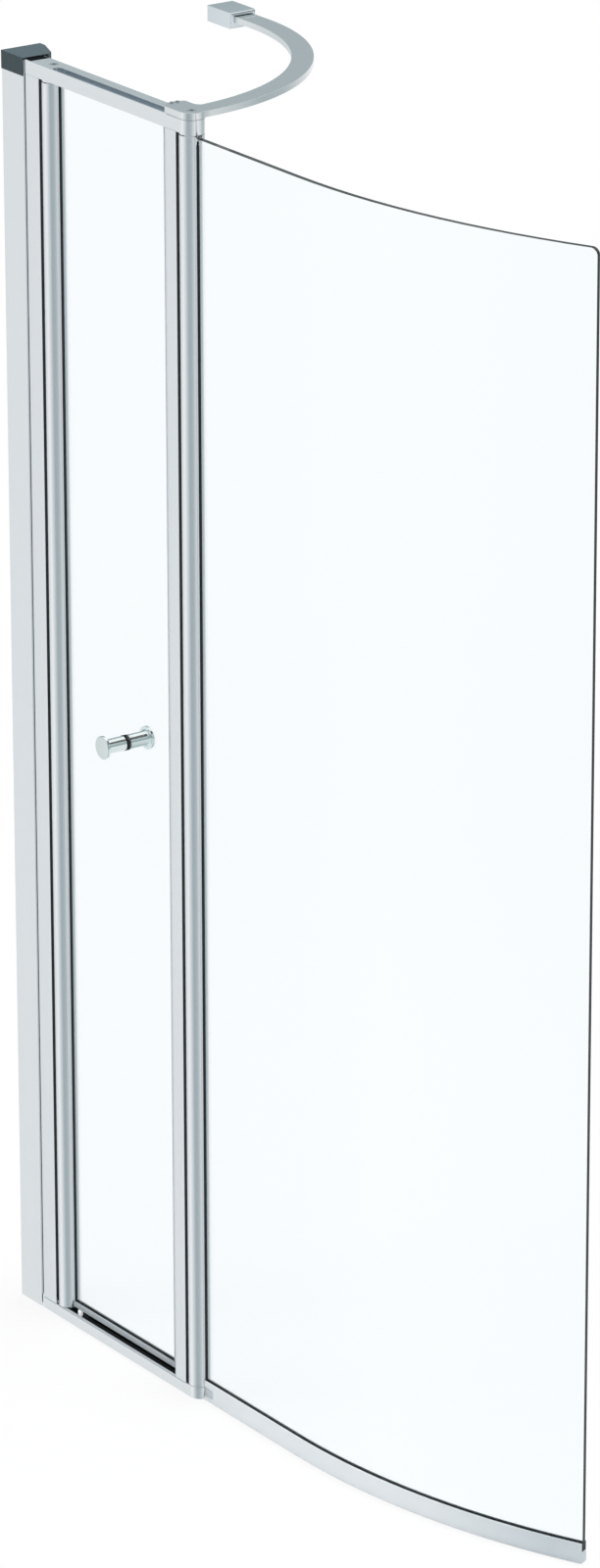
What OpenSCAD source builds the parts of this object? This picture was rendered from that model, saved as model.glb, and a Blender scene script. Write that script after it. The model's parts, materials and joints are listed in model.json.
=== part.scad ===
// Framed shower screen with a hinged access door, a curved pivoting glass panel
// and a curved stay to the wall. Millimetres, Z up.
// Origin: on the wall plane (X = 0), in the plane of the glass (Y = 0), at the underside of the frame.
// X runs out from the wall, -Y is the outside of the bath, +Y is the inside.

/* [Frame] */
// Height of the frame
screen_h = 1400; // [1200:1:1600]
// Radius of the pivot posts, which is also half the depth of the frame
post_r = 13.5; // [12.5:0.5:15]
// Gap between a post and the round hollow of its stile
cove_gap = 2.4; // [1.5:0.1:3]
// Width of the left stile's front face
left_stile_w = 25.2; // [20:0.1:30]
// Width of the right stile's front face
right_stile_w = 23.8; // [19:0.1:30]
// Distance from the door's pivot axis to the right stile
door_w = 219.7; // [180:0.1:320]
// Wall thickness of the stiles
stile_t = 1.8; // [1.4:0.1:2.2]
// Height of the top rail
rail_h = 15.3; // [14:0.1:20]
// Height of the bottom rail
sill_h = 13.4; // [12.5:0.1:16]
// Depth of the rails from the front face
rail_d = 24.1; // [22:0.1:26]
// Thickness of the rails' front and rear walls
rail_t = 3; // [2.4:0.1:3.4]
// Thickness of the top rail's roof under the groove
roof_t = 2; // [1.5:0.1:3]
// Width of the trough along the front of the top rail
groove_w = 10.4; // [6:0.1:12]
// Depth of that trough
groove_depth = 7; // [4:0.1:7.5]
// Distance from the wall to the start of the trough
groove_x = 92; // [91:1:140]
// Length of the notch at the wall end of the top rail
notch_l = 8.2; // [7.8:0.1:9]
// Thickness of the bottom rail's floor
floor_t = 2.4; // [2:0.1:3.5]

/* [Wall profile] */
// Distance that the wall profile stands out from the wall
profile_w = 40.3; // [36:0.1:50]
// Thickness of its web against the wall
web_t = 2.2; // [1.8:0.1:3]
// Thickness of its two flanges
flange_t = 1.7; // [1.4:0.1:2]
// Gap that shows between the wall profile and the left stile
reveal = 4; // [2:0.1:8]
// Distance that the profile and its cover reach behind the glass plane
foot_d = 32.6; // [31:0.1:40]
// Thickness of the clip-on cover
cover_t = 1.5; // [1.2:0.1:1.8]
// Thickness of the tongue's two flanges, which slide in the wall profile
tongue_t = 1.6; // [1.2:0.1:2]
// Sliding clearance of the tongue
tongue_gap = 0.5; // [0.3:0.1:0.9]
// Distance that the plastic cap reaches down from the frame's top
cap_h = 18.6; // [12:0.1:26]
// Distance that the plastic cap stands above the frame's top
cap_rise = 0.8; // [0.4:0.1:3]
// Thickness of the plastic cap
cap_t = 0.9; // [0.8:0.1:1.4]
// Radius of the holes for the wall screws
wall_hole_r = 2.75; // [2:0.05:3.5]
// Number of wall screws
wall_holes = 4; // [3:1:7]
// Distance from the wall profile's ends to the first wall screw
wall_hole_end = 100; // [60:5:140]
// Radius of the shanks of the adjusting screws
adjust_r = 2; // [1.5:0.1:2.5]

/* [Pivots] */
// Radius of the pivot pins
pin_r = 3; // [2.5:0.1:3.5]
// Running clearance of a pin in its bush
pin_gap = 0.05; // [0.02:0.01:0.09]
// Length of a pin inside its post
pin_depth = 18; // [12:1:30]
// Wall of the bushes
bush_t = 1.5; // [1.2:0.1:1.8]
// Gap under the posts, where they bear on the frame
post_foot_gap = 0.3; // [0.2:0.1:1]
// Gap above the posts
post_head_gap = 2.4; // [2:0.1:3]
// Radius of the bottom pin's shoulder, which carries the door's post
shoulder_r = 4; // [3.8:0.1:4.4]

/* [Glass] */
// Thickness of both glass panes
glass_t = 6; // [5:0.5:6]
// Distance that the glass stands away from a post's axis
glass_seat = 7.3; // [6.5:0.1:8.5]
// Thickness of the black gaskets in the posts
gasket_t = 0.9; // [0.6:0.1:1.2]
// Distance that a gasket's front lip reaches from the post's axis
gasket_reach = 17.9; // [15:0.1:20]
// Height of the door glass's top edge below the frame's top
door_top = 19; // [17:0.5:30]
// Height of the door glass's bottom edge
door_foot = 18.7; // [18.2:0.1:20]
// Gap between the door glass and the right stile
door_edge_gap = 5.1; // [4:0.1:8]
// Height of the curved glass's top edge below the frame's top
panel_top = 19.7; // [18:0.1:30]
// Height of the curved glass's bottom edge
panel_foot = 14.2; // [13.8:0.1:16]
// Straight length of the panel, from the pivot axis to the start of the bend
panel_straight = 186.2; // [120:0.1:300]
// Radius of the panel's bend, to the middle of the glass
bend_r = 828.7; // [500:0.1:1500]
// Angle of the bend
bend_a = 26.75; // [10:0.05:40]
// Corner radius of the curved glass
panel_corner = 8; // [4:0.5:20]
// Corner radius of the door glass
door_corner = 4; // [2:0.5:10]

/* [Seals] */
// Thickness of the black liner between the glass and the bottom seals
liner_t = 1.2; // [0.8:0.1:1.6]
// Thickness of the bottom seals' walls
seal_t = 1.3; // [1:0.1:1.8]
// Height of the top edge of the bottom seals
seal_top = 22.4; // [21:0.1:26]
// Height of the strip of liner that shows above a seal
liner_show = 0.2; // [0.1:0.1:3]
// Clearance under the curved panel's sweep
sweep_gap = 0.3; // [0.2:0.1:2]
// Length of the pocket at the post end of the sweep
pocket_l = 16.5; // [6:0.5:20]

/* [Knob] */
// Height of the knob's axis
knob_z = 697.2; // [500:0.1:900]
// Distance from the door's pivot axis to the knob
knob_x = 121.5; // [60:0.1:140]
// Radius of the knob's head
knob_head_r = 12.5; // [11:0.1:16]
// Radius of the knob's neck
knob_neck_r = 7.9; // [6.5:0.1:9]
// Distance that each knob stands out from the glass
knob_len = 28; // [20:0.5:36]
// Thickness of the knob's head
knob_head_t = 3.4; // [2.5:0.1:5]

/* [Stay] */
// Radius of the stay's bend, to the middle of the arm
stay_r = 258.7; // [200:0.1:300]
// Width of the stay's arm
stay_w = 23; // [18:0.5:26]
// Thickness of the stay
stay_t = 6.5; // [5:0.1:8]
// Distance that the foot reaches from the panel's axis towards the wall
foot_w = 27.2; // [24:0.1:40]
// Distance that the foot reaches behind the glass plane
foot_back = 15.5; // [12:0.5:17]
// Radius of the foot's rounded end
foot_end_r = 18.6; // [17:0.1:22]
// Distance that the wall bracket stands out from the wall
bracket_l = 43.9; // [36:0.1:60]
// Width of the wall bracket
bracket_w = 32; // [30:0.5:40]
// Height of the wall bracket
bracket_h = 17.2; // [15:0.1:22]
// Radius of the bracket's screw holes
bracket_hole_r = 2.1; // [1.5:0.1:2.5]
// Distance between the bracket's screw holes
bracket_hole_span = 12; // [10:0.5:14]

/* [Hidden] */
$fn = 96;
wide_fn = 360;

// Distance that a cut goes past what it cuts, and the small one of a countersink
past = 1;
nick = 0.01;
// Clearance round blocks and spigots in their rails, and round the shanks of screws
play = 0.1;
screw_play = 0.05;

// Plan positions that follow from the sizes above
cove_r = post_r + cove_gap;
cove_in = sqrt(pow(cove_r, 2) - pow(post_r, 2));
stile_x = profile_w + reveal;
door_x = stile_x + left_stile_w + cove_in;
strike_x = door_x + door_w;
panel_x = strike_x + right_stile_w + cove_in;
seam_x = panel_x - cove_in;
rail_back = rail_d - post_r;
bend_x = panel_x + panel_straight;

// Heights that follow from the sizes above
post_z = [sill_h + post_foot_gap, screen_h - rail_h - post_head_gap];
post_len = post_z[1] - post_z[0];
liner_top = seal_top + liner_show;
gasket_z = liner_top + 0.2;
door_glass_z = [door_foot, screen_h - door_top];
panel_glass_z = [panel_foot, screen_h - panel_top];
door_glass_x = [door_x + glass_seat, strike_x - door_edge_gap];

// Half widths of the nested seals
glass_h = glass_t / 2;
slot_h = glass_h + gasket_t;
slot_back = glass_h + 0.5;
liner_h = glass_h + liner_t;
seal_h = liner_h + seal_t;
slot_x = glass_seat - gasket_t;
bush_r = pin_r + pin_gap + bush_t;
bush_flange = 0.6;
collar_h = post_head_gap - bush_flange - 0.2;
pin_head_r = 5;
pin_fit = 0.02;
pin_hole_r = pin_r + play;
pin_sink_r = pin_head_r + play;
// The seals start just outside the post
seal_start = post_r + 0.5;

// Screws that hold the frame together
port_x = stile_t + 2.6;
port_y = 6.2;
port_r = 3.4;
screw_r = 1.7;
screw_hole_r = 1.8;
screw_grip = 14;
groove_y = [0.5 - post_r, 0.5 - post_r + groove_w];
notch_y = [0.5 - post_r, rail_back - 1];
notch_depth = 2.5;
plug_t = 1.4;

// Parts of the wall profile
channel_h = post_r - flange_t;
tongue_h = channel_h - tongue_gap;
tongue_x = web_t + 4;
cap_gap = 0.1;
cap_z = [screen_h - cap_h, screen_h + cap_rise];
profile_z = [0, cap_z[1] - cap_t - cap_gap];
wall_hole_y = (post_r + foot_d) / 2;
wall_hole_pitch = (screen_h - 2 * wall_hole_end) / (wall_holes - 1);
adjust_x = profile_w * 0.57;
adjust_zs = [for (f = [1 / 7, 1 / 2, 6 / 7]) screen_h * f];

// Parts of the stay
stay_c = [panel_x - stay_r, 0];
stay_z = [screen_h, screen_h + stay_t];
foot_x = panel_x - foot_w;
slot_gap = 0.3;
bracket_back = 8;
screw_room = 4;
bracket_z0 = screen_h + stay_t / 2 - bracket_h / 2 - 1.4;
bracket_z = [bracket_z0, bracket_z0 + bracket_h];
grub_r = 2.5;
foot_end_c = [foot_x + 7.4, 3];
foot_screws = [[foot_x - 7.2, -0.6], [foot_x - 7, 6.2]];
foot_screw_r = 1.5;
foot_screw_head_r = 2.2;

// Parts of the knob
sleeve_r = 5;
stud_r = 3;
stud_grip = 14;
ring_t = 1.2;

// Parts in the gutter of the bottom rail
door_block_l = 8;
block_z = [floor_t, floor_t + 3];
strip_z = [floor_t, floor_t + 4];
stop_x = [door_x + 23, door_x + 28];
stop_y = [-6, -3];

// Colours
aluminium = [0.84, 0.85, 0.88];
polished = [0.78, 0.80, 0.82];
slate = [0.36, 0.42, 0.44];
black = [0.07, 0.08, 0.09];
steel = [0.62, 0.65, 0.68];
nylon = [0.92, 0.92, 0.90];
clear = [0.80, 0.93, 0.94, 0.35];
frosted = [0.84, 0.87, 0.90];

// Box between two corners, given as ranges along X, Y and Z
module slab(x, y, z) {
    translate([x[0], y[0], z[0]]) cube([x[1] - x[0], y[1] - y[0], z[1] - z[0]]);
}

// Rectangle given as ranges
module area(x, y) {
    translate([x[0], y[0]]) square([x[1] - x[0], y[1] - y[0]]);
}

// Plan outline raised between two heights
module raise(z) {
    translate([0, 0, z[0]]) linear_extrude(z[1] - z[0]) children();
}

// Outline in the Y-Z plane drawn out along X
module along_x(x) {
    translate([x[0], 0, 0]) rotate([90, 0, 90]) linear_extrude(x[1] - x[0]) children();
}

// Outline in the X-Z plane drawn out along Y
module along_y(y) {
    translate([0, y[1], 0]) rotate([90, 0, 0]) linear_extrude(y[1] - y[0]) children();
}

// What is drawn for the bottom of the frame, turned over for the top
module at_top() {
    translate([0, 0, screen_h]) mirror([0, 0, 1]) children();
}

function unit(v) = v / norm(v);

// One rounded corner of an outline: the corner q between its neighbours p and s
function corner(p, q, s, r, n = 6) = r == 0 ? [q] :
    let (u = unit(p - q), v = unit(s - q), half = acos(u * v) / 2,
        reach = r / tan(half), c = q + unit(u + v) * r / sin(half),
        a = unit(q + u * reach - c), b = unit(q + v * reach - c))
    [for (i = [0 : n]) c + r * unit(a * (1 - i / n) + b * i / n)];

// Outline with a radius for each of its corners
function rounded(pts, radii) = let (n = len(pts))
    [for (i = [0 : n - 1]) each corner(pts[(i + n - 1) % n], pts[i], pts[(i + 1) % n], radii[i])];

// Outline of the wall profile with its cover, grown by g on all sides but the wall's.
// The cover slants from its side to its back over a short and a long flat.
function profile_outline(g) =
    let (side_y = foot_d * 0.53, bend = [profile_w * 0.92, foot_d * 0.68], back_x = 9)
    rounded([[0, -post_r - g], [profile_w + g, -post_r - g], [profile_w + g, side_y + g * 0.5],
        bend + [g * 0.7, g * 0.8], [back_x + g * 0.3, foot_d + g], [0, foot_d + g]],
        [0, 0.8, 2, 1, 1.5, 0]);

// Channel for the tongue, foot for the wall screws and two ribs that the cover clips behind
module wall_profile() {
    rib_t = 1.4;
    rib_l = 3;
    rib_out = cover_t + 0.2;
    color(aluminium) difference() {
        raise(profile_z) {
            area([0, web_t], [-post_r, foot_d]);
            area([0, profile_w], [-post_r, -channel_h]);
            area([0, profile_w], [channel_h, post_r]);
            area([web_t, web_t + rib_l], [foot_d - rib_out - rib_t, foot_d - rib_out]);
            area([profile_w - rib_out - rib_t, profile_w - rib_out], [post_r, post_r + rib_l]);
        }
        for (i = [0 : wall_holes - 1])
            translate([-past, wall_hole_y, wall_hole_end + i * wall_hole_pitch])
                rotate([0, 90, 0]) cylinder(r = wall_hole_r, h = web_t + 2 * past);
        for (z = adjust_zs) adjust_slot(z);
    }
}

// Slot that lets the frame move in and out of the wall profile
module adjust_slot(z) {
    travel = 8;
    slot_r = adjust_r + 0.3;
    for (side = [-1, 1])
        translate([adjust_x + side * travel, post_r + past, z])
            rotate([90, 0, 0]) cylinder(r = slot_r, h = flange_t + 2 * past);
    slab([adjust_x - travel, adjust_x + travel], [channel_h - past, post_r + past], [z - slot_r, z + slot_r]);
}

// Clip-on cover that hides the wall screws and the adjusting screws
module profile_cover() {
    color(aluminium) raise(profile_z) difference() {
        polygon(profile_outline(0));
        polygon(profile_outline(-cover_t));
        area([-past, web_t], [-post_r - past, foot_d + past]);
        area([-past, profile_w + past], [-post_r - past, post_r]);
    }
}

// Cap with a skirt round the profile, left open where the tongue slides in
module profile_cap() {
    color(slate) {
        raise([cap_z[1] - cap_t, cap_z[1]]) polygon(profile_outline(cap_gap + cap_t));
        raise([cap_z[0], cap_z[1] - cap_t]) difference() {
            polygon(profile_outline(cap_gap + cap_t));
            polygon(profile_outline(cap_gap));
            area([-past, web_t / 2], [-post_r - cap_gap, foot_d + cap_gap]);
            area([profile_w / 2, profile_w + 2], [-post_r - cap_gap, post_r + 2]);
        }
    }
}

// Pan-head screws that fix the tongue in the wall profile
module adjust_screws() {
    color(steel) for (z = adjust_zs)
        translate([adjust_x, post_r, z]) rotate([-90, 0, 0]) {
            difference() {
                rotate_extrude() polygon([[0, 0], [4, 0], [4, 1.2], [2.6, 2.4], [0, 2.4]]);
                translate([-0.5, -2.2, 1.4]) cube([1, 4.4, 2]);
            }
            translate([0, 0, -8]) cylinder(r = adjust_r, h = 8);
        }
}

// Section of a stile: a box with a round hollow for the post and two screw ports.
// The front edge away from the post is rounded by front_r.
module stile_section(x, axis_x, front_r) {
    inner = [x + stile_t, axis_x - cove_r - stile_t];
    inner_h = post_r - stile_t;
    inner_r = max(0, front_r - stile_t);
    difference() {
        polygon(rounded([[x, -post_r], [axis_x, -post_r], [axis_x, post_r], [x, post_r]],
            [front_r, 0, 0, 1]));
        translate([axis_x, 0]) circle(r = cove_r);
        difference() {
            polygon(rounded([[inner[0], -inner_h], [inner[1], -inner_h], [inner[1], inner_h],
                [inner[0], inner_h]], [inner_r, 0, 0, 0]));
            for (side = [-1, 1]) translate([x + port_x, side * port_y]) circle(r = port_r);
        }
        for (side = [-1, 1]) translate([x + port_x, side * port_y]) circle(r = screw_hole_r);
    }
}

// Left stile with the tongue that slides in the wall profile
module left_stile() {
    stile_z = [sill_h, screen_h - rail_h];
    tongue_z = [sill_h, screen_h - notch_depth];
    color(aluminium) difference() {
        union() {
            raise(stile_z) stile_section(stile_x, door_x, 0.5);
            for (side = [-1, 1]) {
                edge = side > 0 ? [tongue_h - tongue_t, tongue_h] : [-tongue_h, -tongue_h + tongue_t];
                raise(stile_z) area([tongue_x, stile_x + stile_t / 2], edge);
                raise(tongue_z) area([tongue_x, stile_x], edge);
            }
        }
        for (z = adjust_zs)
            translate([adjust_x, channel_h, z]) rotate([90, 0, 0])
                cylinder(r = adjust_r + screw_play, h = tongue_t + 2);
    }
}

module right_stile() {
    color(aluminium) raise([sill_h, screen_h - rail_h]) stile_section(strike_x, panel_x, 5);
}

// Section of a rail of height h, with its outer face at height 0 and its open side up
module rail_section(h, base_t, lip_r) {
    difference() {
        polygon(rounded([[-post_r, 0], [rail_back, 0], [rail_back, h], [-post_r, h]], [0.5, 0.5, 1, lip_r]));
        area([-post_r + rail_t, rail_back - rail_t], [base_t, h + past]);
    }
}

// Holes along a rail for the frame screws and for the door's pivot pin.
// The screws at the wall end are sunk by sink.
module rail_holes(depth, sink) {
    for (place = [[stile_x, sink], [strike_x, 0]], side = [-1, 1])
        translate([place[0] + port_x, side * port_y, 0]) {
            translate([0, 0, -past]) cylinder(r = screw_hole_r, h = rail_h + 2 * past);
            translate([0, 0, place[1] - nick])
                cylinder(r1 = port_r + play, r2 = screw_hole_r, h = port_r - screw_hole_r);
        }
    translate([door_x, 0, 0]) {
        translate([0, 0, -past]) cylinder(r = pin_hole_r, h = depth + 2 * past);
        translate([0, 0, -nick]) cylinder(r1 = pin_sink_r, r2 = pin_hole_r, h = pin_head_r - pin_r);
    }
}

// Channel with an open trough along its front and a notch at its wall end
module top_rail() {
    start_r = groove_w / 2;
    start_x = groove_x + start_r;
    base_t = roof_t + groove_depth;
    color(aluminium) at_top() difference() {
        along_x([stile_x, seam_x]) rail_section(rail_h, base_t, 0.4);
        rail_holes(base_t, notch_depth);
        slab([stile_x - past, stile_x + notch_l], notch_y, [-past, notch_depth]);
        slab([start_x, foot_x + 1], groove_y, [-past, groove_depth]);
        translate([start_x, groove_y[0] + start_r, -past]) cylinder(r = start_r, h = groove_depth + past);
        for (at = foot_screws)
            translate([at[0], at[1], -past])
                cylinder(r = foot_screw_r + screw_play, h = base_t + 2 * past);
    }
}

// Open gutter with three slots that drain it to the inside of the bath
module bottom_rail() {
    drain_w = 12;
    color(aluminium) difference() {
        along_x([stile_x, seam_x]) rail_section(sill_h, floor_t, 2.2);
        rail_holes(floor_t, 0);
        for (i = [1 : 3]) {
            x = door_x + door_w * i / 4;
            slab([x - drain_w / 2, x + drain_w / 2], [rail_back - rail_t - past, rail_back + past],
                [floor_t, floor_t + 2]);
        }
    }
}

// Plugs that close the wall ends of the two rails. The top one has a cover over the screw heads
// in the notch, with a tail that closes the gap to the wall profile's cap.
module rail_plugs() {
    tail_l = 7;
    cover_z = [1.2, notch_depth];
    color(black) {
        rail_plug([floor_t, sill_h]);
        at_top() {
            rail_plug([roof_t + groove_depth, rail_h]);
            slab([stile_x, stile_x + notch_l - play], [notch_y[0] + play, notch_y[1] - play], cover_z);
            slab([stile_x - tail_l, stile_x + past], [-tongue_h, notch_y[1] - play], cover_z);
        }
    }
}

module rail_plug(z) {
    slab([stile_x, stile_x + plug_t], [-post_r + rail_t, rail_back - rail_t], z);
}

// Block in a rail that carries the door's pivot pin and is held by two frame screws
module door_block(end_x, z) {
    difference() {
        slab([stile_x + plug_t + 2 * play, end_x], [-post_r + rail_t + play, rail_back - rail_t - play], z);
        for (side = [-1, 1])
            translate([stile_x + port_x, side * port_y, 0]) cylinder(r = screw_hole_r, h = rail_h + past);
        translate([door_x, 0, 0]) cylinder(r = pin_r + pin_fit, h = rail_h + past);
    }
}

// Flat round collar that closes most of the gap above a post
module head_collar(axis_x) {
    translate([axis_x, 0, rail_h]) difference() {
        cylinder(r = post_r - 0.3, h = collar_h);
        translate([0, 0, -past]) cylinder(r = pin_r + pin_fit, h = collar_h + 2 * past);
    }
}

module door_top_block() {
    color(aluminium) at_top() {
        door_block(door_x + 14, [roof_t + groove_depth, rail_h]);
        head_collar(door_x);
    }
}

// The bottom block is a low plate under the black strip
module door_bottom_block() {
    color(nylon) door_block(door_x + door_block_l, block_z);
}

// Casting that closes a rail with a round end and fits in it with a spigot
module end_block(h, base_t) {
    spigot_x = strike_x + 1;
    difference() {
        union() {
            slab([seam_x, panel_x], [-post_r, post_r], [0, h]);
            intersection() {
                translate([panel_x, 0, 0]) cylinder(r = post_r, h = h);
                slab([seam_x, panel_x + post_r + past], [-post_r - past, post_r + past], [0, h]);
            }
            slab([spigot_x, seam_x + past], [-post_r + rail_t + play, rail_back - rail_t - play],
                [base_t + play, h]);
        }
        for (side = [-1, 1])
            translate([strike_x + port_x, side * port_y, 0]) cylinder(r = screw_hole_r, h = h + past);
        translate([panel_x, 0, -past]) cylinder(r = pin_r + pin_fit, h = h + 2 * past);
    }
}

// The top casting has a collar and a fine upright line on its rounded face
module top_end_block() {
    line_a = -14;
    line_w = 0.6;
    line_depth = 0.4;
    color(aluminium) at_top() {
        difference() {
            end_block(rail_h, roof_t + groove_depth);
            translate([panel_x, 0, -past]) rotate([0, 0, line_a])
                translate([post_r - line_depth, -line_w / 2, 0]) cube([1, line_w, rail_h + 2 * past]);
        }
        head_collar(panel_x);
    }
}

module bottom_end_block() {
    color(aluminium) difference() {
        end_block(sill_h, floor_t);
        translate([panel_x, 0, -nick])
            cylinder(r1 = pin_sink_r, r2 = pin_r + pin_fit, h = pin_head_r - pin_r);
    }
}

// Countersunk screws through the rails into the stiles' screw ports
module frame_screws() {
    color(steel) {
        frame_screw_set(0);
        at_top() frame_screw_set(notch_depth);
    }
}

module frame_screw_set(sink) {
    for (place = [[stile_x, sink], [strike_x, 0]], side = [-1, 1])
        translate([place[0] + port_x, side * port_y, place[1]]) difference() {
            union() {
                cylinder(r = screw_r, h = rail_h + screw_grip);
                cylinder(r1 = port_r, r2 = screw_r, h = port_r - screw_r);
            }
            translate([0, 0, -past]) cylinder(r = 1, h = past + 1, $fn = 6);
        }
}

// Pivot pin with a countersunk head, from z0 up into its post at z1
module pivot_pin(axis_x, z0, z1) {
    translate([axis_x, 0, z0]) difference() {
        union() {
            cylinder(r = pin_r, h = z1 - z0);
            cylinder(r1 = pin_head_r, r2 = pin_r, h = pin_head_r - pin_r);
        }
        translate([0, 0, -past]) cylinder(r = 2, h = past + 2, $fn = 6);
    }
}

module door_pivot_pins() {
    color(steel) {
        pivot_pin(door_x, 0, post_z[0] + pin_depth);
        translate([door_x, 0, block_z[1]]) cylinder(r = shoulder_r, h = sill_h - block_z[1]);
        at_top() pivot_pin(door_x, 0, rail_h + post_head_gap + pin_depth);
    }
}

// The top pin also holds the foot of the stay
module panel_pivot_pins() {
    color(steel) {
        pivot_pin(panel_x, 0, post_z[0] + pin_depth);
        at_top() pivot_pin(panel_x, -stay_t, rail_h + post_head_gap + pin_depth);
    }
}

// Black strip in the gutter, with two upright lips under the door
module sill_gasket() {
    start_x = stile_x + 16;
    lip_x = [stop_x[1] + 3, strike_x + 0.5];
    lip_ys = [-6, 3];
    lip_t = 1.2;
    lip_sink = 1.5;
    block_end = door_x + door_block_l;
    color(black) difference() {
        union() {
            slab([start_x, lip_x[1]], [-post_r + rail_t + play, rail_back - rail_t - play], strip_z);
            for (y = lip_ys) slab(lip_x, [y, y + lip_t], [strip_z[0], sill_h - lip_sink]);
        }
        slab([start_x - past, block_end + play], [-post_r, rail_back],
            [block_z[0] - past, block_z[1] + play]);
        translate([door_x, 0, block_z[0]]) cylinder(r = shoulder_r + 2 * play, h = rail_h);
        slab([stop_x[0] - play, stop_x[1] + play], [stop_y[0] - play, stop_y[1] + play],
            [strip_z[0] - past, strip_z[1] + past]);
    }
}

// White stop that stands in the gutter near the door's post
module sill_stop() {
    z = [floor_t, door_foot - liner_t - seal_t - 0.7];
    color(nylon) along_y(stop_y)
        polygon(rounded([[stop_x[0], z[0]], [stop_x[1], z[0]], [stop_x[1], z[1]], [stop_x[0], z[1]]],
            [0, 0, 1.2, 1.2]));
}

// Plan of the stay: foot on the frame's corner, quarter-circle arm and straight tail to the wall
module stay_plan() {
    inner_r = stay_r - stay_w / 2;
    outer_r = stay_r + stay_w / 2;
    fillet_r = 9;
    inner_x = stay_c[0] + inner_r;
    intersection() {
        translate(stay_c) difference() {
            circle(r = outer_r, $fn = wide_fn);
            circle(r = inner_r, $fn = wide_fn);
        }
        area([stay_c[0], stay_c[0] + outer_r + past], [0, outer_r + past]);
    }
    area([bracket_back + screw_room, stay_c[0] + 0.01], [inner_r, outer_r]);
    area([foot_end_c[0], panel_x], [-post_r, foot_back]);
    intersection() {
        translate(foot_end_c) circle(r = foot_end_r);
        area([foot_x - foot_end_r, foot_end_c[0] + past], [-post_r, foot_back]);
    }
    translate([panel_x, 0]) circle(r = post_r);
    difference() {
        area([inner_x - fillet_r, inner_x + 1], [foot_back - 1, foot_back + fillet_r]);
        translate([inner_x - fillet_r, foot_back + fillet_r]) circle(r = fillet_r);
    }
}

module stay_arm() {
    head_h = pin_head_r - pin_r;
    color(polished) difference() {
        raise(stay_z) stay_plan();
        translate([panel_x, 0, stay_z[0] - past]) cylinder(r = pin_hole_r, h = stay_t + 2 * past);
        translate([panel_x, 0, stay_z[1] - head_h + nick])
            cylinder(r1 = pin_hole_r, r2 = pin_sink_r, h = head_h);
        for (at = foot_screws)
            translate([at[0], at[1], stay_z[0] - past])
                cylinder(r = foot_screw_r + screw_play, h = stay_t + 2 * past);
    }
}

// Two small flat-head screws near the foot's rounded end
module stay_screws() {
    head_h = 0.9;
    grip = 5;
    color(steel) for (at = foot_screws)
        translate([at[0], at[1], stay_z[1]]) difference() {
            union() {
                cylinder(r = foot_screw_head_r, h = head_h);
                translate([0, 0, -stay_t - grip]) cylinder(r = foot_screw_r, h = stay_t + grip);
            }
            translate([0, 0, head_h / 3]) cylinder(r = 1, h = past, $fn = 6);
        }
}

// Bracket with rounded front edges, a slot for the arm and two screw holes to the wall
module stay_bracket() {
    edge_r = 2.5;
    y = [stay_r - bracket_w / 2, stay_r + bracket_w / 2];
    slot_y = [stay_r - stay_w / 2 - slot_gap, stay_r + stay_w / 2 + slot_gap];
    color(polished) difference() {
        intersection() {
            raise(bracket_z) polygon(rounded([[0, y[0]], [bracket_l, y[0]], [bracket_l, y[1]], [0, y[1]]],
                [0, edge_r, edge_r, 0]));
            along_y([y[0] - past, y[1] + past]) polygon(rounded([[0, bracket_z[0]], [bracket_l, bracket_z[0]],
                [bracket_l, bracket_z[1]], [0, bracket_z[1]]], [0, edge_r, edge_r, 0]));
        }
        slab([bracket_back, bracket_l + past], slot_y, [stay_z[0] - 0.2, stay_z[1] + 0.6]);
        for (side = [-1, 1])
            translate([-past, stay_r + side * bracket_hole_span / 2, stay_z[0] + stay_t / 2])
                rotate([0, 90, 0]) cylinder(r = bracket_hole_r, h = bracket_back + 2 * past);
        translate([bracket_l * 0.6, stay_r, bracket_z[0] - past])
            cylinder(r = grub_r + screw_play, h = bracket_h / 2);
    }
}

// Grub screw that clamps the arm from below
module bracket_screw() {
    color(steel) translate([bracket_l * 0.6, stay_r, bracket_z[0] + 0.5]) difference() {
        cylinder(r = grub_r, h = stay_z[0] - bracket_z[0] - 0.5);
        translate([0, 0, -past]) cylinder(r = 1.4, h = past + 2, $fn = 6);
    }
}

// Round post with a slot for the glass, a bore for the bushes, a hollow back and
// a small nose along the slot's front edge, above the seals
module post(axis_x) {
    wall = 2.2;
    nose_l = 1.3;
    nose_t = 1.2;
    nose_x = [post_r - 2, post_r + nose_l];
    nose_y = [-slot_h - nose_t, -slot_h];
    color(aluminium) {
        raise(post_z) translate([axis_x, 0]) difference() {
            circle(r = post_r);
            circle(r = bush_r);
            area([slot_x, post_r + past], [-slot_h, slot_back]);
            intersection() {
                circle(r = post_r - wall);
                area([-post_r, -bush_r - wall], [-post_r, post_r]);
            }
        }
        raise([gasket_z, post_z[1]]) translate([axis_x, 0])
            polygon(rounded([[nose_x[0], nose_y[0]], [nose_x[1], nose_y[0]], [nose_x[1], nose_y[1]],
                [nose_x[0], nose_y[1]]], [0, 0.7, 0, 0]));
    }
}

module door_post() {
    post(door_x);
}

module panel_post() {
    post(panel_x);
}

// Flanged bush at the head of a post and plain bush at its foot
module bushes(axis_x) {
    bush_l = pin_depth + 2;
    color(nylon) {
        translate([axis_x, 0, post_z[0]]) bush_tube(bush_l);
        translate([axis_x, 0, post_z[1] - bush_l]) {
            bush_tube(bush_l);
            translate([0, 0, bush_l]) difference() {
                cylinder(r = bush_r + 3, h = bush_flange);
                translate([0, 0, -past]) cylinder(r = pin_r + pin_gap, h = bush_flange + 2 * past);
            }
        }
    }
}

module bush_tube(h) {
    difference() {
        cylinder(r = bush_r, h = h);
        translate([0, 0, -past]) cylinder(r = pin_r + pin_gap, h = h + 2 * past);
    }
}

module door_bushes() {
    bushes(door_x);
}

module panel_bushes() {
    bushes(panel_x);
}

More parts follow.
